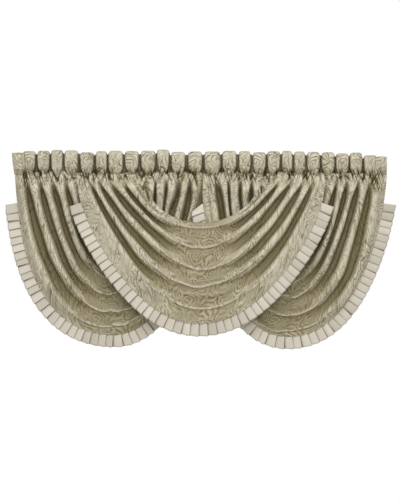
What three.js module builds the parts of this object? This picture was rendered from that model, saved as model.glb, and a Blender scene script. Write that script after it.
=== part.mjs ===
// A waterfall valance: three swags of figured satin that share one curtain rod. Each swag is a panel that
// falls in a crescent of folds between its two ears. The top of an ear is a rod-pocket heading, shirred
// into puffs, and a knife-pleated trim runs round the curved hem. The ears of neighbouring swags take turns
// along the rod, and the centre swag hangs in front of the outer two.
// Millimetres. X runs along the rod, the front faces -Y and Z is up. The origin is over the rod's axis, at
// the top edge of the headings and the middle of their length.
import * as THREE from 'three';

const { clamp, lerp, smoothstep } = THREE.MathUtils;

// Cloth, one layer of each kind, and the gap left where two pieces are sewn together.
const PANEL_CLOTH = 2;
const HEADING_CLOTH = 1.6;
const TRIM_CLOTH = 1;
const SEWN_GAP = 0.3;

// Headings: the pocket from the top of a puff to the stitch line, and its reach from the rod's axis to the
// cloth between two puffs. A puff stands out from that in front, behind and on top, in full from the given
// share of its height. The seam's allowance stands up inside the pocket.
const POCKET_DROP = 67;
const POCKET_REACH = 18;
const PUFF_FRONT = 20;
const PUFF_BACK = 6;
const PUFF_RISE = 10;
const PUFF_FULL_RISE = 0.5;
const SEAM_DEPTH = 5;

// The gap between two ears' headings, and how full the puff at each free end of the row stays at its edge.
const EAR_GAP = 0.5;
const FREE_END_OUT = 0.75;

// Folds: half their depth at the stitch line and where they have opened, the fall over which they open, and
// the share of that depth which is left at a swag's lowest point. There a fold drops off under its crest.
// Past the last crest the waves fade out to the hem.
const GATHER_DEPTH = 4;
const FOLD_DEPTH = 12;
const OPEN_FALL = 45;
const LOW_DEPTH_SHARE = 0.6;
const CREST_DROP_POWER = 0.62;
const BORDER_FADE_POWER = 2;

// A panel comes from the rod's line to the depth at which it stands over this fall, and sooner at the inner
// folds, where two ears cross. From OUTER_FOLD outwards the hem's own depth takes over.
const STAND_FALL = 74;
const INNER_STAND_FALL = 40;
const OUTER_FOLD = 3;

// Just under an ear the hem bows out: a bump t (1 - t)^5 of the way down, which is highest at a sixth of it.
const SHOULDER_POWER = 5;
const SHOULDER_PEAK = 1 / (1 + SHOULDER_POWER);

// Trim: the width that shows, the share of the border that it is sewn on behind, its depth behind the cloth,
// how far below the top it starts on each side, the share of the hem by which its first points keep apart,
// and its pleats.
const TRIM_WIDTH = 33;
const TRIM_UNDER = 0.1;
const TRIM_BEHIND = 5;
const TRIM_TOP = -142;
const TRIM_END_CLEAR = 0.01;
const PLEAT_PITCH = 20.5;
const PLEAT_TUCK = 9;
const PLEAT_LIFT = 2;

const PANEL_COLOUR = 0xa99c7c;
const TRIM_COLOUR = 0xcdc6b6;

// The ears from left to right along the rod, with the width that each puff of their headings takes up.
const EARS = [
  { swag: 'left', side: 'left', puffs: [64, 38, 34, 42], freeEnd: 'left' },
  { swag: 'centre', side: 'left', puffs: [42, 35, 41, 45] },
  { swag: 'left', side: 'right', puffs: [43, 36, 45, 45] },
  { swag: 'right', side: 'left', puffs: [48, 42, 40, 38] },
  { swag: 'centre', side: 'right', puffs: [39, 32, 35, 39] },
  { swag: 'right', side: 'right', puffs: [39, 37, 36, 36, 33], freeEnd: 'right' },
];

// A puff from above: where its points lie along its width at the stitch line (sewn) and where it swells
// (full), and how far out it stands there.
const PUFF_PLAN = [
  { sewn: 0.0, full: 0.0, out: 0.0 },
  { sewn: 0.2, full: 0.07, out: 0.55 },
  { sewn: 0.4, full: 0.22, out: 1.0 },
  { sewn: 0.6, full: 0.78, out: 1.0 },
  { sewn: 0.8, full: 0.93, out: 0.55 },
];

// The pocket from its side, from the stitch line up the front, over the rod and down the back: the share of
// the reach (front is negative) and of the height, and how much of the puffs' swell shows there.
const POCKET_LOOP = [
  { reach: -0.1, rise: 0.0, swell: 0.0 },
  { reach: -0.62, rise: 0.16, swell: 0.6 },
  { reach: -0.98, rise: 0.42, swell: 1.0 },
  { reach: -0.95, rise: 0.78, swell: 1.0 },
  { reach: -0.55, rise: 0.97, swell: 0.9 },
  { reach: 0.15, rise: 1.0, swell: 0.6 },
  { reach: 0.8, rise: 0.88, swell: 0.4 },
  { reach: 1.0, rise: 0.5, swell: 0.4 },
  { reach: 0.1, rise: 0.0, swell: 0.0 },
];

// A swag's fold lines, from the scooped top edge over the five crests to the hem: the x where each leaves
// the left and the right ear, its lowest point, and how full each half bellies out. stand is the depth at
// which the swag hangs: its folds and its hem on either side, and its lowest part. shoulder is how far the
// hem bows out under each ear.
const TOP_EDGE = -0.6;
const LAST_CREST = 4;
const HEM = 5;
const SWAGS = [
  {
    name: 'left',
    stand: { left: -4, leftHem: -4, right: 9, rightHem: 21, low: -5 },
    shoulder: { left: 0, right: 14 },
    folds: [
      { fold: TOP_EDGE, left: -334, right: -146, lowX: -248, lowZ: -263, leftBelly: 0.5, rightBelly: 1 },
      { fold: 0, left: -348, right: -132, lowX: -248, lowZ: -284, leftBelly: 0.55, rightBelly: 1 },
      { fold: 1, left: -379, right: -108, lowX: -245, lowZ: -338, leftBelly: 0.64, rightBelly: 1 },
      { fold: 2, left: -407, right: -78, lowX: -243, lowZ: -385, leftBelly: 0.74, rightBelly: 0.9 },
      { fold: 3, left: -438, right: -42, lowX: -245, lowZ: -429, leftBelly: 0.77, rightBelly: 0.8 },
      { fold: LAST_CREST, left: -472, right: -10, lowX: -243, lowZ: -474, leftBelly: 0.87, rightBelly: 0.78 },
      { fold: HEM, left: -496, right: 5.5, lowX: -241, lowZ: -500, leftBelly: 0.9, rightBelly: 0.75 },
    ],
  },
  {
    name: 'centre',
    stand: { left: -46, leftHem: -46, right: -46, rightHem: -46, low: -50 },
    shoulder: { left: -15, right: 24 },
    folds: [
      { fold: TOP_EDGE, left: -167, right: 181, lowX: 1, lowZ: -195, leftBelly: 0.76, rightBelly: 0.7 },
      { fold: 0, left: -190, right: 198, lowX: 1, lowZ: -208, leftBelly: 0.65, rightBelly: 0.57 },
      { fold: 1, left: -233, right: 226, lowX: 4, lowZ: -262, leftBelly: 0.5, rightBelly: 0.5 },
      { fold: 2, left: -269, right: 256, lowX: 1, lowZ: -320, leftBelly: 0.36, rightBelly: 0.58 },
      { fold: 3, left: -295, right: 291, lowX: 1, lowZ: -363, leftBelly: 0.48, rightBelly: 0.58 },
      { fold: LAST_CREST, left: -314, right: 315, lowX: 4, lowZ: -423, leftBelly: 0.52, rightBelly: 0.58 },
      { fold: HEM, left: -330, right: 331, lowX: 1, lowZ: -468, leftBelly: 0.67, rightBelly: 0.7 },
    ],
  },
  {
    name: 'right',
    stand: { left: 3, leftHem: -12, right: -4, rightHem: -4, low: -5 },
    shoulder: { left: -18, right: 0 },
    folds: [
      { fold: TOP_EDGE, left: 166, right: 336, lowX: 232, lowZ: -273, leftBelly: 1, rightBelly: 0.5 },
      { fold: 0, left: 151, right: 350, lowX: 232, lowZ: -295, leftBelly: 1, rightBelly: 0.6 },
      { fold: 1, left: 122, right: 374, lowX: 232, lowZ: -354, leftBelly: 1, rightBelly: 0.68 },
      { fold: 2, left: 90, right: 405, lowX: 237, lowZ: -396, leftBelly: 0.95, rightBelly: 0.61 },
      { fold: 3, left: 60, right: 430, lowX: 243, lowZ: -441, leftBelly: 0.9, rightBelly: 0.73 },
      { fold: LAST_CREST, left: 28, right: 466, lowX: 224, lowZ: -484, leftBelly: 0.82, rightBelly: 0.84 },
      { fold: HEM, left: 8.6, right: 504, lowX: 234, lowZ: -502, leftBelly: 0.78, rightBelly: 0.79 },
    ],
  },
];

// Where a panel's points lie: across its folds and its border, and along half of a fold, closest at the ear.
const STEPS_PER_FOLD = 5;
const BORDER_STEPS = 4;
const FOLD_STEPS = [];
for (let step = TOP_EDGE * STEPS_PER_FOLD; step < LAST_CREST * STEPS_PER_FOLD; step += 1) {
  FOLD_STEPS.push(step / STEPS_PER_FOLD);
}
for (let step = 0; step <= BORDER_STEPS; step += 1) {
  FOLD_STEPS.push(lerp(LAST_CREST, HEM, step / BORDER_STEPS));
}
const HALF_STEPS = [0, 0.035, 0.065, 0.095, 0.14, 0.21, 0.3, 0.4, 0.52, 0.66, 0.82];
const ALONG_STEPS = [...HALF_STEPS.map((t) => t - 1), 0, ...HALF_STEPS.map((t) => 1 - t).reverse()];
const STITCH_Z = -POCKET_DROP - SEWN_GAP;

// One row of a swag's table at any place across its folds.
function foldLine(folds, fold) {
  const next = Math.max(1, folds.findIndex((row) => row.fold >= fold));
  const [before, after] = [folds[next - 1], folds[next]];
  const share = (fold - before.fold) / (after.fold - before.fold);
  const line = {};
  for (const column of Object.keys(before)) line[column] = lerp(before[column], after[column], share);
  return line;
}

// 1 on a crest and -1 in the valley under it. Low on the swag the valley lies closer under the crest, and
// past the last crest the waves run out in a flat border.
function foldWave(fold, lowness) {
  const crest = Math.floor(fold);
  const phase = Math.pow(fold - crest, lerp(1, CREST_DROP_POWER, lowness));
  const border = Math.pow(Math.min(1, HEM - fold), BORDER_FADE_POWER);
  return Math.cos(2 * Math.PI * phase) * border;
}

// How much of the hem's shoulder shows at a place across the folds and down from the ear.
function shoulderShare(fold, fromEar) {
  const bump = (t) => t * Math.pow(1 - t, SHOULDER_POWER);
  return smoothstep(fold, LAST_CREST, HEM) * bump(fromEar) / bump(SHOULDER_PEAK);
}

// A point in the middle of a panel's cloth. along runs from -1 at the left ear over 0 at the lowest point of
// the fold to 1 at the right ear.
function panelPoint(swag, fold, along) {
  const side = along < 0 ? 'left' : 'right';
  const line = foldLine(swag.folds, fold);
  const ear = new THREE.Vector2(line[side], STITCH_Z);
  const low = new THREE.Vector2(line.lowX, line.lowZ);
  const belly = new THREE.Vector2(lerp(line.lowX, line[side], line[`${side}Belly`]), line.lowZ);
  const fromEar = 1 - Math.abs(along);
  const place = new THREE.QuadraticBezierCurve(ear, belly, low).getPoint(fromEar);
  const fall = STITCH_Z - place.y;
  const lowness = fromEar * fromEar;
  const opened = lerp(GATHER_DEPTH, FOLD_DEPTH, smoothstep(fall, 0, OPEN_FALL));
  const depth = opened * lerp(1, LOW_DEPTH_SHARE, lowness);
  const earStand = lerp(swag.stand[side], swag.stand[`${side}Hem`], smoothstep(fold, OUTER_FOLD, HEM));
  const standFall = lerp(INNER_STAND_FALL, STAND_FALL, smoothstep(fold, 0, OUTER_FOLD));
  const stand = lerp(earStand, swag.stand.low, lowness) * smoothstep(fall, 0, standFall);
  const x = place.x + swag.shoulder[side] * shoulderShare(fold, fromEar);
  return new THREE.Vector3(x, stand - depth * foldWave(fold, lowness), place.y);
}

// The normals of a grid of points, from each point's neighbours. A loop's rows close on themselves.
function gridNormals(grid, loop) {
  const columns = grid[0].length;
  return grid.map((row, r) => row.map((point, c) => {
    const after = loop ? (c + 1) % columns : Math.min(c + 1, columns - 1);
    const before = loop ? (c + columns - 1) % columns : Math.max(c - 1, 0);
    const along = row[after].clone().sub(row[before]);
    const across = grid[Math.min(r + 1, grid.length - 1)][c].clone().sub(grid[Math.max(r - 1, 0)][c]);
    return across.cross(along).normalize();
  }));
}

// Closes two like grids of points, the two faces of a layer of cloth, into one solid with its faces out.
function clothSolid(front, back, loop = false) {
  const rows = front.length;
  const columns = front[0].length;
  const points = [...front.flat(), ...back.flat()];
  const index = (face, r, c) => (face * rows + r) * columns + (c % columns);
  const triangles = [];
  const quad = (a, b, c, d) => triangles.push([a, b, c], [a, c, d]);
  const spans = loop ? columns : columns - 1;
  for (let r = 0; r < rows - 1; r += 1) {
    for (let c = 0; c < spans; c += 1) {
      quad(index(0, r, c), index(0, r, c + 1), index(0, r + 1, c + 1), index(0, r + 1, c));
      quad(index(1, r, c), index(1, r + 1, c), index(1, r + 1, c + 1), index(1, r, c + 1));
    }
    if (!loop) {
      const end = columns - 1;
      quad(index(0, r, 0), index(0, r + 1, 0), index(1, r + 1, 0), index(1, r, 0));
      quad(index(0, r + 1, end), index(0, r, end), index(1, r, end), index(1, r + 1, end));
    }
  }
  for (let c = 0; c < spans; c += 1) {
    const end = rows - 1;
    quad(index(0, 0, c + 1), index(0, 0, c), index(1, 0, c), index(1, 0, c + 1));
    quad(index(0, end, c), index(0, end, c + 1), index(1, end, c + 1), index(1, end, c));
  }
  const volume = triangles.reduce((sum, [a, b, c]) => (
    sum + points[a].dot(points[b].clone().cross(points[c]))
  ), 0);
  const outward = volume > 0 ? triangles : triangles.map(([a, b, c]) => [a, c, b]);
  const geometry = new THREE.BufferGeometry().setFromPoints(points);
  geometry.setIndex(outward.flat());
  geometry.computeVertexNormals();
  return geometry;
}

// A swag's panel: its folds as one sheet, cut square under the stitch lines and at the hem.
function panelGeometry(swag) {
  const middle = FOLD_STEPS.map((fold) => ALONG_STEPS.map((along) => panelPoint(swag, fold, along)));
  const normals = gridNormals(middle, false);
  const half = PANEL_CLOTH / 2;
  const face = (side) => middle.map((row, r) => row.map((point, c) => {
    const away = normals[r][c].clone();
    if (Math.abs(ALONG_STEPS[c]) === 1) away.setZ(0).normalize();
    if (FOLD_STEPS[r] === HEM) away.set(0, Math.sign(away.y), 0);
    return point.clone().addScaledVector(away, side * half);
  }));
  return clothSolid(face(1), face(-1));
}

// A heading: the pocket's loop of cloth, shirred into puffs, open at both ends for the rod.
function headingGeometry(ear, from) {
  const columns = [];
  let start = from;
  for (const width of ear.puffs) {
    for (const { sewn, full, out } of PUFF_PLAN) {
      columns.push({ sewn: start + width * sewn, full: start + width * full, out });
    }
    start += width;
  }
  columns.push({ sewn: start, full: start, out: 0 });
  if (ear.freeEnd === 'left') columns.slice(0, 2).forEach((column) => { column.out = FREE_END_OUT; });
  if (ear.freeEnd === 'right') columns.slice(-2).forEach((column) => { column.out = FREE_END_OUT; });
  columns[0].full = columns[0].sewn += EAR_GAP / 2;
  columns.at(-1).full = columns.at(-1).sewn -= EAR_GAP / 2;

  const outside = columns.map(({ sewn, full, out }) => POCKET_LOOP.map(({ reach, rise, swell }) => {
    const puff = out * Math.min(1, rise / PUFF_FULL_RISE) * (reach < 0 ? PUFF_FRONT : PUFF_BACK);
    const height = POCKET_DROP - PUFF_RISE * (1 - out);
    const x = lerp(sewn, full, swell);
    return new THREE.Vector3(x, reach * (POCKET_REACH + puff), rise * height - POCKET_DROP);
  }));
  const normals = gridNormals(outside, true);
  const seamEnds = [0, POCKET_LOOP.length - 1];
  const inside = outside.map((row, r) => row.map((point, c) => {
    if (seamEnds.includes(c)) return point.clone().add(new THREE.Vector3(0, -point.y / 2, SEAM_DEPTH));
    const inner = point.clone().addScaledVector(normals[r][c], -HEADING_CLOTH);
    if (r === 0 || r === outside.length - 1) inner.x = point.x;
    return inner;
  }));
  return clothSolid(outside, inside, true);
}

// The folded strip of the trim, seen from its edge: distance along the hem and height over its backing.
// Each pleat runs forward to its fold, and the strip tucks back under it.
function pleatLine(length) {
  const pleats = Math.round(length / PLEAT_PITCH);
  const pitch = length / pleats;
  const line = [new THREE.Vector2(0, -PLEAT_LIFT)];
  for (let pleat = 1; pleat <= pleats; pleat += 1) {
    line.push(new THREE.Vector2(pleat * pitch, PLEAT_LIFT));
    if (pleat < pleats) line.push(new THREE.Vector2(pleat * pitch - PLEAT_TUCK, -PLEAT_LIFT));
  }
  return line;
}

// One side of a bent line, a distance away from it, with mitred corners.
function besideLine(line, distance) {
  const sideways = (a, b) => new THREE.Vector2(a.y - b.y, b.x - a.x).normalize();
  return line.map((point, i) => {
    const before = sideways(line[Math.max(i - 1, 0)], line[Math.max(i, 1)]);
    const after = sideways(line[Math.min(i, line.length - 2)], line[Math.min(i + 1, line.length - 1)]);
    const mitre = before.clone().add(after).divideScalar(1 + before.dot(after));
    return point.clone().addScaledVector(mitre, distance);
  });
}

// A swag's trim: the pleated strip, laid along the hem from just behind it to the trim's outer edge.
function trimGeometry(swag) {
  const { lowZ } = foldLine(swag.folds, HEM);
  const start = Math.sqrt((TRIM_TOP - lowZ) / (STITCH_Z - lowZ));
  const inTrim = ALONG_STEPS.filter((along) => Math.abs(along) < start - TRIM_END_CLEAR);
  const lineAt = (fold) => new THREE.CatmullRomCurve3(
    [-start, ...inTrim, start].map((along) => panelPoint(swag, fold, along)),
  );
  const hem = lineAt(HEM);
  const sewnLine = lineAt(HEM - TRIM_UNDER);
  const length = hem.getLength();
  const place = ({ x, y }) => {
    const share = hem.getUtoTmapping(clamp(x / length, 0, 1));
    const tangent = hem.getTangent(share);
    const outward = new THREE.Vector3(tangent.z, 0, -tangent.x).setLength(TRIM_WIDTH);
    const layer = new THREE.Vector3(0, TRIM_BEHIND - y, 0);
    return [sewnLine.getPoint(share).add(layer), hem.getPoint(share).add(outward).add(layer)];
  };
  const line = pleatLine(length);
  const face = (side) => besideLine(line, side * TRIM_CLOTH / 2).map(place);
  return clothSolid(face(1), face(-1));
}

const panelMaterial = new THREE.MeshStandardMaterial({ color: PANEL_COLOUR, roughness: 0.55, metalness: 0 });
const trimMaterial = new THREE.MeshStandardMaterial({ color: TRIM_COLOUR, roughness: 0.7, metalness: 0 });

const valance = new THREE.Group();
function addPiece(name, geometry, material) {
  const piece = new THREE.Mesh(geometry, material);
  piece.name = name;
  valance.add(piece);
}

const headingLength = EARS.flatMap((ear) => ear.puffs).reduce((sum, width) => sum + width, 0);
let earStart = -headingLength / 2;
for (const ear of EARS) {
  addPiece(`${ear.swag}_swag_${ear.side}_heading`, headingGeometry(ear, earStart), panelMaterial);
  earStart += ear.puffs.reduce((sum, width) => sum + width, 0);
}
for (const swag of SWAGS) {
  addPiece(`${swag.name}_swag_panel`, panelGeometry(swag), panelMaterial);
  addPiece(`${swag.name}_swag_trim`, trimGeometry(swag), trimMaterial);
}

export default valance;
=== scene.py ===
import bisect
import math
from collections import namedtuple

import bmesh
import bpy
import numpy as np
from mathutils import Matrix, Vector, noise


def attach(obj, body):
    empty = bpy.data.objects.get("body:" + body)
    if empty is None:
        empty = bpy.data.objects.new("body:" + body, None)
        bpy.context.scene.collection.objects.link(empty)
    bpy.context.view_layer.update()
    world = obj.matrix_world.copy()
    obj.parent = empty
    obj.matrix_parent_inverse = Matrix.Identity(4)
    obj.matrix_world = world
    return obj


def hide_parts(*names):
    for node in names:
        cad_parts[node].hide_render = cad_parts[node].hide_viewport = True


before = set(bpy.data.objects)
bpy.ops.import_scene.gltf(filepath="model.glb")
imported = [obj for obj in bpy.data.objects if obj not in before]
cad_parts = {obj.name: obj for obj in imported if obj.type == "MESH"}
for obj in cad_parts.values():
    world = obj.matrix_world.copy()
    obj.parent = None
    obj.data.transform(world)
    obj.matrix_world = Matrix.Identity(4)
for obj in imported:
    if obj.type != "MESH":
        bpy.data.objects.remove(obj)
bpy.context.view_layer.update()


# Swag panels
# Each swag is one crescent of figured polyester satin, cut on the bias so that it falls softly. Its two ears
# are gathered under the headings, and the cloth between them hangs in five folds, down to the curved hem.
MM = 0.001
PANEL_THICKNESS = 1.2
PANEL_COLUMNS = 240
PANEL_ROWS = 204
EAR_CROWDING = 1.4
CREST_CROWDING = 0.5
EVENING = 25

# Heights and depths in mm. The stitch line is where the ears are gathered. Folds open below it, and are
# shallower at a swag's lowest point. A panel comes to its own depth over a longer fall.
STITCH_Z = -63
STITCH_FRONT = 13
STITCH_FRONT_FALL = 24
STITCH_SAG = 5
SAG_WIDTH = 11
SWELL = 7
SWELL_FALL = 20
OPEN_FROM = 14
OPEN_FALL = 48
VALLEY_START = -0.85
VALLEY_FALL = 80
# The painted shade of a valley grows as the wave falls between these two values.
VALLEY_SHADE = -0.25, 0.65
FLAT_TO = 0.14
FLAT_FROM = 0.56
LOW_FOLD_DEPTH = 0.6
UNEVEN_DEPTH = 0.3
STAND_FALL = 74
INNER_STAND_FALL = 40
OUTER_FOLD = 3
WIDE_SWAY = 0.09
SMALL_SWAY = 0.06
RIPPLE = 1.4
PUCKER = 0.7
PUCKER_WIDTH = 13

# The crush of the gathers: sharp creases at two slants, which reach further down at a swag's top edge and
# hem, and larger lumps where an ear is crushed at its top edge. Creases get painted shade, and past a shade
# of 1 deeper painted shade, where hardly any light reaches.
Creases = namedtuple("Creases", "slant width length depth")
CREASES = [Creases(0.3, 10, 64, 11), Creases(-0.35, 8, 56, 9)]
CREASE_SHARPNESS = 0.15
CRUSH = 4
CRUSH_WIDTH = 12
CRUSH_LENGTH = 40
LUMP_WIDTH = 17
LUMP_LENGTH = 80
LUMP_DEPTH = 14
LUMP_SHARPNESS = 0.2
LUMP_FALL = 10, 30
CREASE_SHADE_DEPTH = -1, 4
CREASE_GLOOM_DEPTH = 3, 9
CREASE_FROM = 8
CREASE_FALL = 44
CREASE_SHADE_FROM = 12
CREASE_SHADE_FALL = 30
CREASE_GLOOM = 0.8
INNER_EDGE = -0.16
INNER_CREASE_FROM = 50
INNER_CREASE_FALL = 110
EDGE_CREASE_FROM = 26
EDGE_CREASE_FALL = 72
BORDER_SMOOTHNESS = 0.8
BORDER_SMOOTH_FROM = 4.2, 4.7

# A crest is a round roll at the ears and a narrow one low on the swag, where a thin lip hangs over the cloth
# under it. The top edge of the cloth is rolled back behind the first crest. Each shade here is painted shade.
ROLL_EDGE = 0.06
ROLL_EDGE_DRIFT = 0.3
BEHIND_ROLL_EDGE = -0.3
BEHIND_DEPTH = 1.25
BEHIND_SWAY = 0.35
BEHIND_SHADE = 0.85
ROLL_SHARPNESS = 2.6
LOW_CREST = 0.15, 0.75
LOW_CREST_POWER = 1.8
LOW_CREST_DROP = 0.62
LIP_DEPTH = 4
LIP_HANG = 2
LIP_WIDTH = 0.045
LIP_LOWNESS = 0.05, 0.5
BORDER_SHADE = 0.67
BORDER_FADE = 0.4
BACK_SHADE = 0.75
ROLL_TURN = 2.9
ROLL_TUCKED_FROM = 1.2
ROLL_DEPTH = 9
ROLL_AT_EAR = 0.5
ROLL_FULL_FROM = 0.2
ROLL_CREASE = -0.075
ROLL_CREASE_WIDTH = 0.03
ROLL_CREASE_DEPTH = 6
ROLL_CREASE_SHADE = 0.9
ROLL_CREASE_START = 16, 40
ROLL_CREASE_END = 95, 125
SHOULDER_POWER = 5

TOP_EDGE = -0.6
LAST_CREST = 4
HEM = 5
Fold = namedtuple("Fold", "at left right low_x low_z left_belly right_belly")
Stand = namedtuple("Stand", "left left_hem right right_hem low")
# A swag's low_shade is the painted shade of its flat low cloth, deeper on the two side swags.
Swag = namedtuple("Swag", "name seed fold_depth low_share low_shade stand "
                          "left_shoulder right_shoulder left_fan folds")
SWAGS = [
    Swag("left", 3.1, 18, 0.2, 0.87, Stand(-4, -4, 0, 21, -5), 0, 14, 0, [
        Fold(TOP_EDGE, -322, -167, -248, -263, 0.5, 1),
        Fold(0, -348, -132, -248, -284, 0.55, 1),
        Fold(1, -382, -108, -245, -338, 0.59, 1),
        Fold(2, -419, -78, -243, -385, 0.59, 0.9),
        Fold(3, -453, -42, -245, -429, 0.65, 0.8),
        Fold(LAST_CREST, -482, -5, -240, -472, 0.83, 0.72),
        Fold(HEM, -496, 17, -230, -495, 0.94, 0.66),
    ]),
    Swag("centre", 17.4, 15, 0.06, 0.8, Stand(-43, -43, -43, -43, -47), -17, 20, 0, [
        Fold(TOP_EDGE, -163, 178, 1, -195, 0.76, 0.7),
        Fold(0, -198, 205, 1, -208, 0.71, 0.62),
        Fold(1, -242, 245, 4, -262, 0.44, 0.41),
        Fold(2, -276, 274, 1, -320, 0.37, 0.43),
        Fold(3, -297, 300, 1, -363, 0.49, 0.51),
        Fold(LAST_CREST, -319, 320, 4, -423, 0.51, 0.61),
        Fold(HEM, -330, 331, -4, -464, 0.6, 0.635),
    ]),
    Swag("right", 41.7, 18, 0.2, 0.9, Stand(-4, -12, -4, -4, -5), -14, 6, 1, [
        Fold(TOP_EDGE, 182, 325, 232, -273, 1, 0.5),
        Fold(0, 151, 354, 232, -295, 1, 0.6),
        Fold(1, 122, 383, 232, -354, 1, 0.65),
        Fold(2, 90, 418, 237, -396, 0.95, 0.53),
        Fold(3, 60, 444, 243, -441, 0.9, 0.65),
        Fold(LAST_CREST, 28, 474, 224, -482, 0.82, 0.86),
        Fold(HEM, 8.6, 498, 234, -500, 0.785, 0.775),
    ]),
]

# Short folds that lie between two crests: where they are, how far they reach, and how far they stand out.
MinorFold = namedtuple("MinorFold", "swag at along half_at half_along height")
MINOR_FOLDS = [
    MinorFold("centre", 3.47, 0.04, 0.1, 0.2, 4.5),
    MinorFold("left", 2.5, -0.2, 0.12, 0.25, -3),
    MinorFold("right", 2.6, 0.15, 0.12, 0.3, 3),
    MinorFold("right", 4.45, -0.8, 0.12, 0.25, -6),
]


def lerp(a, b, share):
    return a + (b - a) * share


def smoothstep(value, low, high):
    share = min(1, max(0, (value - low) / (high - low)))
    return share * share * (3 - 2 * share)


def eased_row(rows, at):
    """The row of a table at any place, eased through its neighbours. A row's first column is its place."""
    last = len(rows) - 1
    end = next((i for i in range(1, last) if rows[i].at >= at), last)
    start = end - 1
    width = rows[end].at - rows[start].at
    t = (at - rows[start].at) / width
    before, after = rows[max(start - 1, 0)], rows[min(end + 1, last)]
    ease = t * t * (3 - 2 * t)
    leave, arrive = t * (1 - t) ** 2 * width, t * t * (t - 1) * width
    leave /= rows[end].at - before.at
    arrive /= after.at - rows[start].at
    return type(rows[0])(*(
        lerp(a, b, ease) + leave * (b - a0) + arrive * (b1 - a)
        for a0, a, b, b1 in zip(before, rows[start], rows[end], after)
    ))


def hang(line, along):
    """Where a fold line is, as x and z: it leaves the ear, bellies out and levels off at its lowest point."""
    ear, belly = (line.left, line.left_belly) if along < 0 else (line.right, line.right_belly)
    up = abs(along)
    down = 1 - up
    x = ear * up ** 2 + 2 * up * down * lerp(line.low_x, ear, belly) + line.low_x * down ** 2
    return x, lerp(line.low_z, STITCH_Z, up ** 2)


def crumple(x, z):
    """How far back the gathered cloth stands beside the stitch line, in mm: small puckers between sharp
    creases, which run up and down at a slant and cross each other."""
    back = 0
    for crease in CREASES:
        spot = (x + crease.slant * z) / crease.width, (z - STITCH_Z) / crease.length + 0.5, crease.width + 0.5
        back += crease.depth * max(0, 1 - abs(noise.noise(Vector(spot))) / CREASE_SHARPNESS)
    return back - CRUSH + CRUSH * noise.noise(Vector((x / CRUSH_WIDTH, z / CRUSH_LENGTH, 2.5)))


def lumps(x, z):
    """How far back, in mm, the creases between larger lumps lie, where an ear is crushed at its top edge."""
    across = abs(noise.noise(Vector((x / LUMP_WIDTH, z / LUMP_LENGTH, 9.5))))
    return LUMP_DEPTH * max(0, 1 - across / LUMP_SHARPNESS)


def crease_shade(depth):
    """Painted shade in a crease: up to 1 where it is shallow, past 1 where hardly any light reaches it."""
    return smoothstep(depth, *CREASE_SHADE_DEPTH) + CREASE_GLOOM * smoothstep(depth, *CREASE_GLOOM_DEPTH)


def stitch_sag(x):
    """How far the gathers pull the stitch line up or down at a place along the rod."""
    return STITCH_SAG * noise.noise(Vector((x / SAG_WIDTH, 0.5, 0.5)))


def fold_wave(at, lowness, roll_edge):
    """1 on a crest and -1 in a valley. Crests are rolls with steep sides near the ears, and sharper and
    uneven lower down. Past the last crest the cloth falls back to the flat border."""
    if at >= LAST_CREST:
        return 1 - smoothstep(at, LAST_CREST, HEM)
    phase = at - math.floor(at)
    heights = [math.tanh(ROLL_SHARPNESS * (c - roll_edge)) for c in (-1, math.cos(2 * math.pi * phase), 1)]
    roll = 2 * (heights[1] - heights[0]) / (heights[2] - heights[0]) - 1
    skewed = math.cos(2 * math.pi * phase ** LOW_CREST_DROP)
    low = 2 * (0.5 + 0.5 * skewed) ** LOW_CREST_POWER - 1
    return lerp(roll, low, smoothstep(lowness, *LOW_CREST))


def shoulder(at, down):
    """How much of the hem's bow under an ear shows, from 0 to 1, at its peak a sixth of the way down."""
    peak = 1 / (1 + SHOULDER_POWER)
    bump = down * (1 - down) ** SHOULDER_POWER / (peak * (1 - peak) ** SHOULDER_POWER)
    return bump * smoothstep(at, LAST_CREST, HEM)


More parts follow.
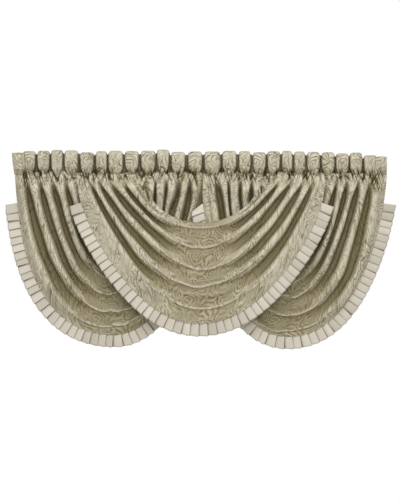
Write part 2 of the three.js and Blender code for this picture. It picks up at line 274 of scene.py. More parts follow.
def panel_point(swag, at, along):
    """A point of a swag's cloth in mm, and its painted shade in front and behind: 0 on a crest, 1 deep in a
    fold and more in a deep crease. at counts the folds from the top, and along runs from ear to ear."""
    down = 1 - abs(along)
    lowness = down ** 2
    x, z = hang(eased_row(swag.folds, max(at, 0)), along)
    roll = tucked_shade = 0
    if at < 0:
        turn = ROLL_TURN * at / TOP_EDGE
        edge_x, edge_z = hang(swag.folds[0], along)
        x, z = lerp(x, edge_x, math.sin(turn)), lerp(z, edge_z, math.sin(turn))
        roll = ROLL_DEPTH * (1 - math.cos(turn)) * lerp(ROLL_AT_EAR, 1, smoothstep(down, 0, ROLL_FULL_FROM))
        tucked_shade = smoothstep(turn, ROLL_TUCKED_FROM, ROLL_TURN)
    fall = max(0, STITCH_Z - z)

    hem_share, out_share = smoothstep(at, OUTER_FOLD, HEM), smoothstep(at, 0, OUTER_FOLD)
    if along < 0:
        ear_stand = lerp(swag.stand.left, swag.stand.left_hem, hem_share)
        x += swag.left_shoulder * shoulder(at, down)
    else:
        ear_stand = lerp(swag.stand.right, swag.stand.right_hem, hem_share)
        x += swag.right_shoulder * shoulder(at, down)
    stand_fall = lerp(INNER_STAND_FALL, STAND_FALL, out_share)
    stand = lerp(ear_stand, swag.stand.low, lowness) * smoothstep(fall, 0, stand_fall)

    opened = smoothstep(fall, OPEN_FROM, OPEN_FALL)
    uneven = noise.noise(Vector((along * 2.1, at * 0.9, swag.seed)))
    flatness = 1 - smoothstep(abs(along), FLAT_TO, FLAT_FROM)
    depth = swag.fold_depth * opened * lerp(1, swag.low_share, flatness)
    depth *= lerp(1, LOW_FOLD_DEPTH, lowness) * (1 + UNEVEN_DEPTH * uneven)
    roll_edge, sway = ROLL_EDGE, 0
    if (swag.name, along > 0) in (("left", True), ("right", False)):
        depth *= BEHIND_DEPTH
        roll_edge = BEHIND_ROLL_EDGE
        sway = BEHIND_SWAY * noise.noise(Vector((along * 6, at * 1.2, swag.seed + 13)))
    sway += WIDE_SWAY * noise.noise(Vector((along * 2.7, at * 0.6, swag.seed + 7)))
    sway += SMALL_SWAY * noise.noise(Vector((along * 8, at * 1.1, swag.seed + 9)))
    folded = max(0, at + sway * smoothstep(at, 0, 1) * min(1, HEM - at))
    roll_edge += ROLL_EDGE_DRIFT * noise.noise(Vector((along * 7, at * 0.8, swag.seed + 11)))
    roll_edge = lerp(VALLEY_START, roll_edge, smoothstep(fall + uneven * OPEN_FROM, OPEN_FROM, VALLEY_FALL))
    wave = fold_wave(folded, lowness, roll_edge)
    y = stand + roll - depth * wave

    crest = folded - min(LAST_CREST, round(folded))
    lip = math.exp(-(crest / LIP_WIDTH) ** 2) * smoothstep(lowness, *LIP_LOWNESS) if at >= 0 else 0
    y -= LIP_DEPTH * lip
    z -= LIP_HANG * lip
    border = smoothstep(at, LAST_CREST, LAST_CREST + BORDER_FADE)
    # Painted shade on the flat low cloth and its border, left off the lips, and more behind the centre swag.
    low_shade = lerp(swag.low_shade, BORDER_SHADE, border) * (1 - lip)
    shade = lerp(smoothstep(-wave, *VALLEY_SHADE) * opened, low_shade, flatness)
    if swag.name == "left" and along > 0:
        shade = max(shade, BEHIND_SHADE * border)
    for minor in MINOR_FOLDS:
        if minor.swag == swag.name:
            near = ((at - minor.at) / minor.half_at) ** 2 + ((along - minor.along) / minor.half_along) ** 2
            y -= minor.height * math.exp(-near)

    inner, outer = 1 - smoothstep(at, INNER_EDGE, 0), smoothstep(at, OUTER_FOLD, LAST_CREST)
    crease_from = lerp(lerp(CREASE_FROM, INNER_CREASE_FROM, inner), EDGE_CREASE_FROM, outer)
    crease_fall = lerp(lerp(CREASE_FALL, INNER_CREASE_FALL, inner), EDGE_CREASE_FALL, outer)
    gathered = 1 - smoothstep(fall, crease_from, crease_fall)
    creases = (crumple(x, z) + lumps(x, z) * inner * smoothstep(fall, *LUMP_FALL)) * gathered
    creases *= 1 - BORDER_SMOOTHNESS * smoothstep(at, *BORDER_SMOOTH_FROM)
    y += creases - STITCH_FRONT * math.exp(-fall / STITCH_FRONT_FALL)
    y -= SWELL * fall / SWELL_FALL * math.exp(1 - fall / SWELL_FALL)
    z += stitch_sag(x) * gathered
    pinched = lerp(1 - smoothstep(fall, CREASE_SHADE_FROM, CREASE_SHADE_FALL), gathered, max(inner, outer))
    # Painted shade also on the rolled-back top edge, in the creases and, below, in the roll's crease.
    shade = max(shade, tucked_shade, pinched * crease_shade(creases))
    roll_crease = math.exp(-((at - ROLL_CREASE) / ROLL_CREASE_WIDTH) ** 2)
    roll_crease *= smoothstep(fall, *ROLL_CREASE_START) * (1 - smoothstep(fall, *ROLL_CREASE_END))
    y += ROLL_CREASE_DEPTH * roll_crease
    shade = max(shade, ROLL_CREASE_SHADE * roll_crease)
    y += RIPPLE * opened * noise.noise(Vector((along * 8, at * 4.3, swag.seed + 3)))
    y += PUCKER * noise.noise(Vector((x / PUCKER_WIDTH, z / PUCKER_WIDTH, swag.seed)))
    return Vector((x, y, z)), shade, BACK_SHADE * max(0, 1 - shade)


def evened(lengths):
    """Lengths averaged with those in the rows beside them, so that small creases don't jolt the pattern."""
    window = np.hanning(min(EVENING, len(lengths)) + 2)[1:-1]
    weights = np.convolve(np.ones(len(lengths)), window, "same")
    return np.array([np.convolve(column, window, "same") / weights for column in lengths.T]).T


def cloth_piece(name, columns, rows, place, thickness, material):
    """A sheet of cloth: a grid put in place point by point, in mm, and unrolled on the UV map in metres. Each
    point also keeps painted shades for front and back, darker the deeper it lies in the folds."""
    bm = bmesh.new()
    bm.verts.layers.float.new("fold_shade")
    bm.verts.layers.float.new("back_shade")
    fold_shade, back_shade = bm.verts.layers.float["fold_shade"], bm.verts.layers.float["back_shade"]
    flat = bm.loops.layers.uv.new("cloth")
    bmesh.ops.create_grid(bm, x_segments=columns, y_segments=rows, size=1)
    grid = {}
    for vert in bm.verts:
        spot = round((vert.co.x + 1) / 2 * columns), round((vert.co.y + 1) / 2 * rows)
        grid[spot] = vert
        point, vert[fold_shade], vert[back_shade] = place(spot[0] / columns, spot[1] / rows)
        vert.co = point * MM
    places = np.array([[grid[c, r].co for r in range(rows + 1)] for c in range(columns + 1)])
    unrolled = np.zeros((columns + 1, rows + 1, 2))
    unrolled[1:, :, 0] = np.linalg.norm(np.diff(places, axis=0), axis=2)
    unrolled[:, 1:, 1] = np.linalg.norm(np.diff(places, axis=1), axis=2)
    unrolled[..., 0] = evened(unrolled[..., 0].T).T.cumsum(axis=0)
    unrolled[..., 1] = evened(unrolled[..., 1]).cumsum(axis=1)
    unrolled[..., 0] -= unrolled[columns // 2, :, 0]
    for (c, r), vert in grid.items():
        for loop in vert.link_loops:
            loop[flat].uv = unrolled[c, r]
    mesh = bpy.data.meshes.new(name)
    bm.to_mesh(mesh)
    bm.free()
    mesh.shade_smooth()
    mesh.materials.append(material)
    piece = bpy.data.objects.new(name, mesh)
    bpy.context.scene.collection.objects.link(piece)
    solidify = piece.modifiers.new("cloth thickness", "SOLIDIFY")
    solidify.thickness = thickness * MM
    solidify.offset = 0
    return piece


def linear(hex_colour):
    """An sRGB hex colour as linear RGBA."""
    channels = [int(hex_colour[i:i + 2], 16) / 255 for i in (1, 3, 5)]
    return [c / 12.92 if c <= 0.04045 else ((c + 0.055) / 1.055) ** 2.4 for c in channels] + [1]


def add_node(tree, kind, inputs=None, **settings):
    """Adds a shader node. An input takes a value, or the socket that feeds it."""
    node = tree.nodes.new("ShaderNode" + kind)
    for name, value in settings.items():
        setattr(node, name, value)
    for name, value in (inputs or {}).items():
        if isinstance(value, bpy.types.NodeSocket):
            tree.links.new(value, node.inputs[name])
        else:
            node.inputs[name].default_value = value
    return node


def damask_satin():
    """Polyester damask, woven in one colour: a satin ground with a soft sheen, and a duller figure of coiled
    scrolls and feathered leaves. Painted shade darkens the weave in the folds. Where that shade is deep the
    figure is drawn lighter than the ground, and where it is light, darker."""
    GROUND, SHADED_OUTLINE, FIGURE, FIGURE_IN_PAINTED_SHADE, PAINTED_FOLD_SHADE = "#bfb7a1", "#998e6e", "#74684c", "#efe8d6", "#968c64"
    MOTIF, LINE, LEAF_TURN, TENDRIL, PATCH, GLINT, THREAD = 40, 8, 26, 16, 95, 45, 1.4
    DRIFT, WANDER, RELIEF = 42, 26, 0.6
    LEAF_LOBES = 7.0
    COILED_SHARE = 0.4
    DARKEST = 0.45
    material = bpy.data.materials.new("damask_satin")
    material.use_nodes = True
    tree = material.node_tree
    shader = tree.nodes["Principled BSDF"]

    cloth = add_node(tree, "UVMap", uv_map="cloth").outputs["UV"]
    drift = add_node(tree, "TexNoise", {"Vector": cloth, "Scale": 1 / (DRIFT * MM), "Detail": 1.0})
    centred = add_node(tree, "VectorMath", {0: drift.outputs["Color"], 1: (0.5, 0.5, 0.5)},
                       operation="SUBTRACT")
    wander = add_node(tree, "VectorMath", {0: centred.outputs[0], "Scale": WANDER * MM}, operation="SCALE")
    bent = add_node(tree, "VectorMath", {0: cloth, 1: wander.outputs[0]}, operation="ADD")
    plane = add_node(tree, "VectorMath", {0: bent.outputs[0], 1: (1, 1, 0)}, operation="MULTIPLY").outputs[0]

    motifs = add_node(tree, "TexVoronoi", {"Vector": plane, "Scale": 1 / (MOTIF * MM), "Randomness": 0.8},
                      voronoi_dimensions="2D")
    spoke = add_node(tree, "VectorMath", {0: plane, 1: motifs.outputs["Position"]}, operation="SUBTRACT")
    reach = add_node(tree, "VectorMath", {0: spoke.outputs[0]}, operation="LENGTH").outputs["Value"]
    arm = add_node(tree, "SeparateXYZ", {0: spoke.outputs[0]})
    angle = add_node(tree, "Math", {0: arm.outputs["Y"], 1: arm.outputs["X"]}, operation="ARCTAN2").outputs[0]
    toss = add_node(tree, "SeparateColor", {0: motifs.outputs["Color"]})
    side = add_node(tree, "Math", {0: toss.outputs["Red"], 1: 0.5}, operation="GREATER_THAN").outputs[0]
    hand = add_node(tree, "Math", {0: side, 1: 2.0, 2: -1.0}, operation="MULTIPLY_ADD").outputs[0]
    winding = add_node(tree, "Math", {0: angle, 1: hand}, operation="MULTIPLY").outputs[0]
    turns = add_node(tree, "Math", {0: reach, 1: 2 * math.pi / (LINE * MM), 2: winding},
                     operation="MULTIPLY_ADD").outputs[0]
    fans = add_node(tree, "Math", {0: winding, 1: LEAF_LOBES}, operation="MULTIPLY").outputs[0]
    veins = add_node(tree, "Math", {0: reach, 1: 2 * math.pi / (LEAF_TURN * MM), 2: fans},
                     operation="MULTIPLY_ADD").outputs[0]
    leafy = add_node(tree, "Math", {0: toss.outputs["Green"], 1: COILED_SHARE},
                     operation="GREATER_THAN").outputs[0]
    course = add_node(tree, "Mix", {0: leafy, 2: turns, 3: veins}).outputs[0]
    swing = add_node(tree, "Math", {0: course}, operation="SINE").outputs[0]
    lines = add_node(tree, "MapRange", {"Value": swing, "From Min": 0.4, "From Max": 0.9},
                     interpolation_type="SMOOTHSTEP").outputs[0]

    patches = add_node(tree, "TexNoise", {"Vector": cloth, "Scale": 1 / (PATCH * MM), "Detail": 4.0})
    shown = add_node(tree, "MapRange", {"Value": patches.outputs["Fac"], "From Min": 0.38, "From Max": 0.5},
                     interpolation_type="SMOOTHSTEP").outputs[0]
    scrolls = add_node(tree, "Math", {0: lines, 1: shown}, operation="MULTIPLY").outputs[0]
    twine = add_node(tree, "TexNoise", {"Vector": bent.outputs[0], "Scale": 1 / (TENDRIL * MM),
                                        "Detail": 1.5})
    apart = add_node(tree, "Math", {0: twine.outputs["Fac"], 1: 0.5}, operation="SUBTRACT").outputs[0]
    gap = add_node(tree, "Math", {0: apart}, operation="ABSOLUTE").outputs[0]
    tendrils = add_node(tree, "MapRange", {"Value": gap, "From Min": 0.045, "From Max": 0.01, "To Max": 0.7},
                        interpolation_type="SMOOTHSTEP").outputs[0]
    drawn = add_node(tree, "Math", {0: scrolls, 1: tendrils}, operation="MAXIMUM").outputs[0]
    # Painted sheen: in random patches the figure shows less, as where the satin's sheen hides it.
    sheen_patches = add_node(tree, "TexNoise", {"Vector": cloth, "Scale": 1 / (GLINT * MM), "Detail": 1.0})
    seen = add_node(tree, "MapRange", {"Value": sheen_patches.outputs["Fac"], "From Min": 0.35, "From Max": 0.6,
                                       "To Min": 0.5, "To Max": 1.0}).outputs[0]

    # The cloth's front and back have their own painted shades, told apart by the way that a face points.
    in_front = add_node(tree, "Attribute", attribute_name="fold_shade").outputs["Fac"]
    behind = add_node(tree, "Attribute", attribute_name="back_shade").outputs["Fac"]
    normal = add_node(tree, "SeparateXYZ", {0: add_node(tree, "NewGeometry").outputs["Normal"]})
    faces_back = add_node(tree, "MapRange", {"Value": normal.outputs["Y"], "From Min": 0.0,
                                             "From Max": 0.2}).outputs[0]
    shade = add_node(tree, "Mix", {0: faces_back, 2: in_front, 3: behind}).outputs[0]
    # Deep in the painted shade the figure fades.
    lit = add_node(tree, "MapRange", {"Value": shade, "From Min": 0.84, "From Max": 1.0, "To Min": 1.0,
                                      "To Max": 0.65}).outputs[0]
    turned_up = add_node(tree, "Math", {0: seen, 1: lit}, operation="MULTIPLY").outputs[0]
    figure = add_node(tree, "Math", {0: drawn, 1: turned_up}, operation="MULTIPLY").outputs[0]

    # The threads are about 0.2 mm apart, too fine to show, so they are drawn seven times as coarse.
    threads = add_node(tree, "TexNoise", {"Vector": cloth, "Scale": 1 / (THREAD * MM), "Detail": 2.0})
    slub = add_node(tree, "MapRange", {"Value": threads.outputs["Fac"], "To Min": 0.8,
                                       "To Max": 1.2}).outputs[0]
    # In painted shade the figure is drawn light, with darker ground between its lines; out of it, dark.
    in_painted_shade = add_node(tree, "MapRange", {"Value": shade, "From Min": 0.3, "From Max": 0.5}).outputs[0]
    ink = add_node(tree, "Mix", {0: in_painted_shade, 6: linear(FIGURE), 7: linear(FIGURE_IN_PAINTED_SHADE)}, data_type="RGBA")
    dips = add_node(tree, "MapRange", {"Value": swing, "From Min": -0.3, "From Max": -0.9},
                    interpolation_type="SMOOTHSTEP").outputs[0]
    outlined = add_node(tree, "Math", {0: dips, 1: shown}, operation="MULTIPLY").outputs[0]
    shaded_outline = add_node(tree, "Math", {0: outlined, 1: in_painted_shade}, operation="MULTIPLY").outputs[0]
    ground = add_node(tree, "Mix", {0: shaded_outline, 6: linear(GROUND), 7: linear(SHADED_OUTLINE)}, data_type="RGBA")
    woven = add_node(tree, "Mix", {0: figure, 6: ground.outputs[2], 7: ink.outputs[2]}, data_type="RGBA")
    # Painted shade: the weave is multiplied toward a dark olive, as far as the shade goes.
    painted_fold_shade = add_node(tree, "Mix", {0: shade, 6: woven.outputs[2], 7: linear(PAINTED_FOLD_SHADE)}, data_type="RGBA",
                    blend_type="MULTIPLY")
    # Past a shade of 1, in the gaps between puffs and the sharpest creases, deeper painted shade darkens the
    # weave.
    deep_painted_shade = add_node(tree, "MapRange", {"Value": shade, "From Min": 1.0, "From Max": 2.0, "To Min": 1.0,
                                        "To Max": DARKEST}).outputs[0]
    tone = add_node(tree, "Math", {0: slub, 1: deep_painted_shade}, operation="MULTIPLY").outputs[0]
    cloth_tone = add_node(tree, "VectorMath", {0: painted_fold_shade.outputs[2], "Scale": tone}, operation="SCALE")
    tree.links.new(cloth_tone.outputs[0], shader.inputs["Base Color"])
    gloss = add_node(tree, "MapRange", {"Value": figure, "To Min": 0.4, "To Max": 0.6}).outputs[0]
    tree.links.new(gloss, shader.inputs["Roughness"])

    relief = add_node(tree, "Math", {0: figure, 1: 0.8, 2: threads.outputs["Fac"]}, operation="MULTIPLY_ADD")
    bump = add_node(tree, "Bump", {"Height": relief.outputs[0], "Strength": 0.5, "Distance": RELIEF * MM})
    tree.links.new(bump.outputs[0], shader.inputs["Normal"])
    shader.inputs["Specular IOR Level"].default_value = 0.45
    shader.inputs["Sheen Weight"].default_value = 0.15
    shader.inputs["Sheen Roughness"].default_value = 0.4
    shader.inputs["Sheen Tint"].default_value = linear("#e9dfc6")
    return material


damask = damask_satin()
for swag in SWAGS:
    def place_panel(u, v, swag=swag):
        ear_side = 2 * u - 1
        along = math.copysign(1 - (1 - abs(ear_side)) ** EAR_CROWDING, ear_side)
        at = lerp(TOP_EDGE, HEM, v)
        if at > 0:
            at -= CREST_CROWDING * math.sin(2 * math.pi * at) / (2 * math.pi)
        return panel_point(swag, at, along)

    panel = cloth_piece(f"{swag.name}_swag_cloth", PANEL_COLUMNS, PANEL_ROWS, place_panel,
                        PANEL_THICKNESS, damask)
    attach(panel, "root")
    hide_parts(f"{swag.name}_swag_panel")


# Rod-pocket headings
# At each ear the cloth is turned over to the back and stitched down, which leaves a pocket for the rod.
# Pushed together on the rod it shirrs into flat-fronted puffs, with deep gaps between them.
HEADING_THICKNESS = 0.9
PUFF_COLUMNS = 44
POCKET_ROWS = 74
POCKET_DROP = 67
PUFF_NOTCH = 4.5
PUFF_CORNER = 3.5
EAR_OVERLAP = 1
EAR_TUCK = 1.5
FREE_END_OUT = 0.8
FREE_END_REACH = 1.5
FREE_END_SLANT = 6
HEADING_CREASE_FROM = 2
HEADING_CREASE_RISE = 26
FREE_END_CREASES = 0.1, 0.8
POCKET_FRONT = 0.6
# Painted shade: a little on every puff, more in the gaps between the puffs.
PUFF_SHADE = 0.13
PUFF_TAPER = 0.1, 0.5
PUFF_UNEVEN = 0.14
TAPER_UNEVEN = 0.4
PUFF_LEAN = 3
PUFF_LUMP = 2
# The painted shade of the gaps: where it starts above the stitch line, and how it spreads and deepens past 1.
GAP_END = 0.05
GAP_END_UNEVEN = 0.09
GAP_END_FADE = 0.08
GAP_SHADE = 0.1, 0.75
GAP_GLOOM = 0, 0.6

# The puffs of each ear from left to right: the width of each on the rod, and how far its top dips.
Puff = namedtuple("Puff", "width dip")
Ear = namedtuple("Ear", "swag side free_end puffs")
EARS = [
    Ear("left", "left", "left", [Puff(30, 9), Puff(34, 5), Puff(38, 4), Puff(34, 2), Puff(42, 3)]),
    Ear("centre", "left", None, [Puff(42, 8), Puff(35, 5), Puff(41, 4), Puff(45, 5)]),
    Ear("left", "right", None, [Puff(43, 4), Puff(36, 1), Puff(45, 7), Puff(45, 6)]),
    Ear("right", "left", None, [Puff(48, 6), Puff(42, 4), Puff(40, 5), Puff(38, 8)]),
    Ear("centre", "right", None, [Puff(39, 5), Puff(32, 4), Puff(35, 6), Puff(39, 7)]),
    Ear("right", "right", "right", [Puff(39, 8), Puff(37, 11), Puff(36, 9), Puff(36, 16), Puff(33, 19)]),
]

# The pocket seen from its side, up the front, over the rod and down the back: its rise as a share of its
# height, how far forward or back it is in the gaps and on the puffs, and how much of its place a puff fills.
Loop = namedtuple("Loop", "at rise gap puff fill")
POCKET_LOOP = [
    Loop(0, 0.0, -12, -15, 0.8),
    Loop(1, 0.05, -13, -18, 0.46),
    Loop(2, 0.14, -14, -23, 0.58),
    Loop(3, 0.34, -14, -30, 0.8),
    Loop(4, 0.75, -14, -33, 0.86),
    Loop(5, 0.985, -9, -26, 0.85),
    Loop(6, 1.0, 2, 3, 0.82),
    Loop(7, 0.88, 12, 17, 0.8),
    Loop(8, 0.5, 14, 20, 0.8),
    Loop(9, 0.0, 2, 4, 0.6),
]

# Half a puff from the middle of a gap to the middle of its front: how much of the gap and of the front is
# passed, and how far out it stands.
PuffSide = namedtuple("PuffSide", "at gap front out")
PUFF_SIDE = [
    PuffSide(0, 0, 0, 0),
    PuffSide(1, 0.9, 0, 0.05),
    PuffSide(2, 1, 0.03, 0.6),
    PuffSide(3, 1, 0.14, 0.95),
    PuffSide(4, 1, 0.5, 1),
    PuffSide(5, 1, 1, 1),
]


def heading_point(ear, start, u, v):
    """A point of a heading's cloth in mm, and its painted shades. u runs along the rod and v round the
    pocket, from the front of the stitch line to its back."""
    count = len(ear.puffs)
    index = min(int(u * count + 1e-9), count - 1)
    puff, share = ear.puffs[index], u * count - index
    left = start + sum(p.width for p in ear.puffs[:index])
    loop = eased_row(POCKET_LOOP, v * POCKET_LOOP[-1].at)
    half = eased_row(PUFF_SIDE, 2 * min(share, 1 - share) * PUFF_SIDE[-1].at)
    taper = 1 - smoothstep(loop.rise, *PUFF_TAPER)
    uneven = lerp(PUFF_UNEVEN, TAPER_UNEVEN, taper)
    fill = loop.fill * (1 + uneven * noise.noise(Vector((left / 31, loop.rise, 3.5))))
    across = 0.5 * (half.gap * (1 - fill) + half.front * fill)
    x = left + puff.width * (across if share < 0.5 else 1 - across)
    out = half.out
    corner = PUFF_CORNER * max(0, 1 - 2 * half.front) ** 2
    from_end = {"left": u * count, "right": count - u * count}.get(ear.free_end, count)
    if from_end < FREE_END_REACH:
        out = lerp(FREE_END_OUT, 1, out)
        corner = 0
    if from_end < 1:
        x = left + puff.width * share
        if ear.free_end == "left":
            x += FREE_END_SLANT * (1 - from_end) * (1 - loop.rise)
        else:
            x -= FREE_END_SLANT * (1 - from_end)
    x += -EAR_OVERLAP if u == 0 else EAR_OVERLAP if u == 1 else 0

    above = max(0, loop.rise) * (POCKET_DROP - puff.dip - corner - PUFF_NOTCH * (1 - out))
    gathered = 1 - smoothstep(above, HEADING_CREASE_FROM, HEADING_CREASE_RISE)
    z = above - POCKET_DROP
    creases = crumple(x, z) * gathered * smoothstep(from_end, *FREE_END_CREASES) if v < POCKET_FRONT else 0
    z += stitch_sag(x) * gathered
    y = lerp(loop.gap, loop.puff, out) + creases + (EAR_TUCK if u == 0 else 0)
    x += PUFF_LEAN * noise.noise(Vector((left / 23, 0.5, 6.5))) * loop.rise * half.front
    y += PUFF_LUMP * out * noise.noise(Vector((x / 9, y / 30, z / 24)))
    gap_end = GAP_END + GAP_END_UNEVEN * noise.noise(Vector((x / 7, 0.5, 8.5)))
    # Painted shade in the gaps, past 1 where deepest, a little on every puff, and in the creases.
    shade = 2 - smoothstep(out, *GAP_SHADE) - smoothstep(out, *GAP_GLOOM)
    shade *= smoothstep(loop.rise, gap_end, gap_end + GAP_END_FADE)
    shade = max(shade, PUFF_SHADE, gathered * crease_shade(creases))
    return Vector((x, y, z)), shade, min(shade, 1)


heading_start = -sum(puff.width for ear in EARS for puff in ear.puffs) / 2
for ear in EARS:
    def place_heading(u, v, ear=ear, start=heading_start):
        return heading_point(ear, start, u, v)

    heading = cloth_piece(f"{ear.swag}_swag_{ear.side}_pocket", PUFF_COLUMNS * len(ear.puffs), POCKET_ROWS,
                          place_heading, HEADING_THICKNESS, damask)
    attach(heading, "root")
    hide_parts(f"{ear.swag}_swag_{ear.side}_heading")
    ear_width = sum(puff.width for puff in ear.puffs)
    heading_start += ear_width


# Knife-pleated trims
# A strip of plain pale satin is pressed into knife pleats, all lying the same way, and sewn on behind the
# curved hem of each swag. Its pleats overlap like scales, and their ends make a slightly stepped edge.
TRIM_THICKNESS = 0.6
TRIM_ROWS = 8
TRIM_WIDTH = 33
TRIM_UNDER = 0.1
SEWN_BEHIND = 2.2
TRIM_BEHIND = 5
TRIM_TOP = -142
PLEAT_PITCH = 20.5
PLEAT_TUCK = 8
PLEAT_LIFT = 2.8
PLEAT_STEP = 2.6
PLEAT_SKEW = 4
PLEAT_UNEVEN = 0.22
END_PLEAT = 1.25
SEWN_LIFT = 0.75
LIFT_UNEVEN = 0.35
PLEAT_TONE = 0.15
TONE_UNEVEN = 0.3
HEM_SAMPLES = 240
HEM_SPAN = 3

# The right swag's trim fans out at its left end, where it shows in the centre scoop: how far along the hem
# that reaches, how far the pleats spread and stand forward, and how much the end is drawn in to a tip.
FAN_REACH = 50, 130
FAN_SPREAD = 7.2
FAN_FORWARD = 7.2
FAN_TIP = -8, 16
FAN_TIP_FROM = 1 / 3
FAN_DRAWN_IN = 0.85

# A pleat's section, from under the pleat before it to its own fold and back: the share of the way along its
# face or its tuck, the share of its lift, and its painted shade.
PleatPoint = namedtuple("PleatPoint", "face tuck lift shade")
PLEAT_SECTION = [
    PleatPoint(0.0, 0, -1.0, 1),
    PleatPoint(0.27, 0, -0.95, 1),
    PleatPoint(0.33, 0, -0.5, 0.5),
    PleatPoint(0.43, 0, -0.05, 0.1),
    PleatPoint(0.65, 0, 0.4, 0),
    PleatPoint(0.88, 0, 0.75, 0),
    PleatPoint(0.97, 0, 0.85, 0),
    PleatPoint(1.0, 0, 0.7, 0.1),
    PleatPoint(1.0, 0.06, 0.4, 0.6),
    PleatPoint(1.0, 0.3, -0.2, 1),
    PleatPoint(1.0, 0.8, -0.75, 1),
]
FIRST_PLEAT = PleatPoint(0.0, 0, -0.3, 0)
UNDER_POINTS = 3
FOLD_POINTS = 4


class Hemline:
    """A swag's hem between the two ends of its trim, with the line behind it that the trim is sewn to."""

    def __init__(self, swag):
        low_z = swag.folds[-1].low_z
        end = math.sqrt((TRIM_TOP - low_z) / (STITCH_Z - low_z))
        alongs = [lerp(-end, end, i / HEM_SAMPLES) for i in range(HEM_SAMPLES + 1)]
        self.hem = [panel_point(swag, HEM, along)[0] for along in alongs]
        self.sewn = [panel_point(swag, HEM - TRIM_UNDER, along)[0] for along in alongs]
        self.lengths = [0]
        for a, b in zip(self.hem, self.hem[1:]):
            self.lengths.append(self.lengths[-1] + (b - a).length)

    def at(self, distance):
        """The hem, the sewn line and the way out from the swag, at a distance along the hem."""
        distance = min(max(distance, 0), self.lengths[-1])
        end = min(max(bisect.bisect_left(self.lengths, distance), 1), HEM_SAMPLES)
        share = (distance - self.lengths[end - 1]) / (self.lengths[end] - self.lengths[end - 1])
        ahead = self.hem[min(end + HEM_SPAN, HEM_SAMPLES)] - self.hem[max(end - 1 - HEM_SPAN, 0)]
        outward = Vector((ahead.z, 0, -ahead.x)).normalized()
        return (self.hem[end - 1].lerp(self.hem[end], share),
                self.sewn[end - 1].lerp(self.sewn[end], share), outward)


def pleated_strip(length, seed):
    """The strip's points seen from its edge: distance along the hem, height, painted shade, and the step and
    skew of its outer edge. The first pleat has none to lie under, and the last ends at its fold."""
    count = round(length / PLEAT_PITCH)
    uneven = [1 + PLEAT_UNEVEN * noise.noise(Vector((i * 1.7, seed, 0.5))) for i in range(count)]
    uneven[0] = uneven[-1] = END_PLEAT
    edges = [0]
    for share in uneven:
        edges.append(edges[-1] + share * length / sum(uneven))
    strip = []
    for i, (start, end) in enumerate(zip(edges, edges[1:])):
        face_start = start - PLEAT_TUCK if i else start
        lift = PLEAT_LIFT * (1 + LIFT_UNEVEN * noise.noise(Vector((i * 2.3, seed, 4.5))))
        # Each pleat's face is also darkened by a random amount.
        tone = PLEAT_TONE + TONE_UNEVEN * noise.noise(Vector((i * 1.3, seed, 7.5)))
        skew = PLEAT_SKEW * noise.noise(Vector((i * 0.9, seed, 2.5)))
        for point in PLEAT_SECTION if i else [FIRST_PLEAT] + PLEAT_SECTION[UNDER_POINTS:]:
            distance = lerp(face_start, end, point.face) - PLEAT_TUCK * point.tuck
            step = PLEAT_STEP * (point.face - 0.5)
            strip.append((distance, lift * point.lift, max(point.shade, tone), step, skew))
    return strip[:-FOLD_POINTS]


def pleat_satin():
    """Plain polyester satin, pressed: smooth and pale, with a faint weave and a soft sheen."""
    IVORY, TUCK_SHADE = "#cdc6b7", "#7f7868"
    WEAVE, CLOUD, RELIEF = 1.1, 40, 0.3
    material = bpy.data.materials.new("pleat_satin")
    material.use_nodes = True
    tree = material.node_tree
    shader = tree.nodes["Principled BSDF"]
    cloth = add_node(tree, "UVMap", uv_map="cloth").outputs["UV"]
    # The threads are too fine to show, so they are drawn five times as coarse.
    weave = add_node(tree, "TexNoise", {"Vector": cloth, "Scale": 1 / (WEAVE * MM), "Detail": 2.0})
    cloudy = add_node(tree, "TexNoise", {"Vector": cloth, "Scale": 1 / (CLOUD * MM), "Detail": 2.0})
    both = add_node(tree, "Math", {0: weave.outputs["Fac"], 1: cloudy.outputs["Fac"]}, operation="ADD")
    tint = add_node(tree, "MapRange", {"Value": both.outputs[0], "From Max": 2.0, "To Min": 0.88,
                                       "To Max": 1.12}).outputs[0]
    # Painted shade: the satin darkens toward a dull grey-brown in the tucks under each pleat.
    shade = add_node(tree, "Attribute", attribute_name="fold_shade").outputs["Fac"]
    pressed = add_node(tree, "Mix", {0: shade, 6: linear(IVORY), 7: linear(TUCK_SHADE)}, data_type="RGBA")
    shaded = add_node(tree, "VectorMath", {0: pressed.outputs[2], "Scale": tint}, operation="SCALE")
    tree.links.new(shaded.outputs[0], shader.inputs["Base Color"])
    bump = add_node(tree, "Bump", {"Height": weave.outputs["Fac"], "Strength": 0.3, "Distance": RELIEF * MM})
    tree.links.new(bump.outputs[0], shader.inputs["Normal"])
    shader.inputs["Roughness"].default_value = 0.55
    shader.inputs["Specular IOR Level"].default_value = 0.4
    shader.inputs["Sheen Weight"].default_value = 0.2
    shader.inputs["Sheen Roughness"].default_value = 0.4
    return material


ivory = pleat_satin()
for swag in SWAGS:
    hemline = Hemline(swag)
    strip = pleated_strip(hemline.lengths[-1], swag.seed)

    def place_trim(u, v, swag=swag, hemline=hemline, strip=strip):
        distance, height, shade, step, skew = strip[round(u * (len(strip) - 1))]
        fanned = swag.left_fan * (1 - smoothstep(distance, *FAN_REACH))
        hem, sewn, outward = hemline.at(distance + (skew + FAN_SPREAD * fanned) * v)
        tip = smoothstep(fanned, 0, FAN_TIP_FROM) * (1 - smoothstep(distance, *FAN_TIP))
        edge = hem + outward * (TRIM_WIDTH + step) * (1 - FAN_DRAWN_IN * tip)
        edge.y -= FAN_FORWARD * fanned
        behind = lerp(SEWN_BEHIND, TRIM_BEHIND, v) - height * lerp(SEWN_LIFT, 1, v)
        return sewn.lerp(edge, v) + Vector((0, behind, 0)), shade, shade

    trim = cloth_piece(f"{swag.name}_swag_pleats", len(strip) - 1, TRIM_ROWS, place_trim,
                       TRIM_THICKNESS, ivory)
    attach(trim, "root")
    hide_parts(f"{swag.name}_swag_trim")


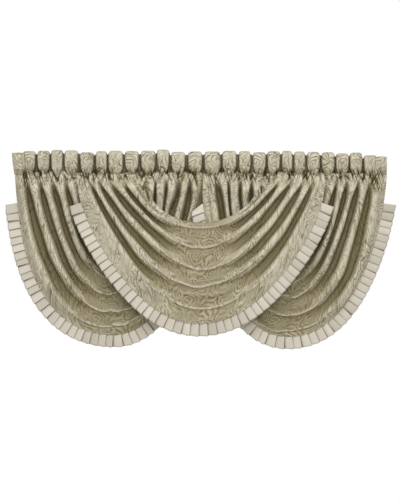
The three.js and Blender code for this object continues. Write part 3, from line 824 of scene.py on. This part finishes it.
# Camera, floor and studio light
# The photograph is taken straight on from some way off: a long lens at the height of the valance's middle.
# A soft light above the valance shades the folds, another by the camera fills them, and the floor is pale.
PHOTO_SCALE = 2.68
PHOTO_SIZE = 400, 500
PHOTO_MIDDLE = 200.5, 150
CAMERA_AWAY = 5
SENSOR = 36
FLOOR_Z = -1.1
FLOOR_SIZE = 2.2

camera_data = bpy.data.cameras.new("photo_view")
camera_data.sensor_width = SENSOR
camera_data.lens = SENSOR * CAMERA_AWAY / (PHOTO_SIZE[1] * PHOTO_SCALE * MM)
camera = bpy.data.objects.new("photo_view", camera_data)
view_x = (PHOTO_SIZE[0] / 2 - PHOTO_MIDDLE[0]) * PHOTO_SCALE * MM
view_z = -(PHOTO_SIZE[1] / 2 - PHOTO_MIDDLE[1]) * PHOTO_SCALE * MM
camera.location = view_x, -CAMERA_AWAY, view_z
camera.rotation_euler = math.pi / 2, 0, 0
bpy.context.scene.collection.objects.link(camera)
bpy.context.scene.camera = camera

bm = bmesh.new()
bmesh.ops.create_grid(bm, x_segments=1, y_segments=1, size=FLOOR_SIZE / 2)
bmesh.ops.translate(bm, verts=bm.verts, vec=(0, 0, FLOOR_Z))
floor_mesh = bpy.data.meshes.new("floor")
bm.to_mesh(floor_mesh)
bm.free()
floor = bpy.data.objects.new("floor", floor_mesh)
bpy.context.scene.collection.objects.link(floor)
paint = bpy.data.materials.new("pale_floor_paint")
paint.use_nodes = True
paint.node_tree.nodes["Principled BSDF"].inputs["Base Color"].default_value = linear("#efece6")
paint.node_tree.nodes["Principled BSDF"].inputs["Roughness"].default_value = 0.9
floor_mesh.materials.append(paint)

StudioLight = namedtuple("StudioLight", "name place aim size watts")
STUDIO_LIGHTS = [
    StudioLight("key_softbox", (0, -1.3, 1.25), (0, 0, -0.2), 1.1, 21),
    StudioLight("front_softbox", (0.3, -3.5, 0.5), (0, 0, -0.25), 1.6, 34),
]
for light in STUDIO_LIGHTS:
    lamp_data = bpy.data.lights.new(light.name, "AREA")
    lamp_data.size = light.size
    lamp_data.energy = light.watts
    lamp = bpy.data.objects.new(light.name, lamp_data)
    lamp.location = light.place
    lamp.rotation_euler = (Vector(light.aim) - Vector(light.place)).to_track_quat("-Z", "Y").to_euler()
    bpy.context.scene.collection.objects.link(lamp)

# The studio is white to the camera, and dimmer as a light, so that the folds keep their shade.
world = bpy.data.worlds.new("white_studio")
world.use_nodes = True
bpy.context.scene.world = world
studio = world.node_tree
backdrop = studio.nodes["Background"]
ray = add_node(studio, "LightPath")
strength = add_node(studio, "MapRange", {"Value": ray.outputs["Is Camera Ray"], "To Min": 0.6, "To Max": 1.0})
studio.links.new(strength.outputs[0], backdrop.inputs["Strength"])
backdrop.inputs["Color"].default_value = (1, 1, 1, 1)
bpy.context.scene.view_settings.view_transform = "Standard"
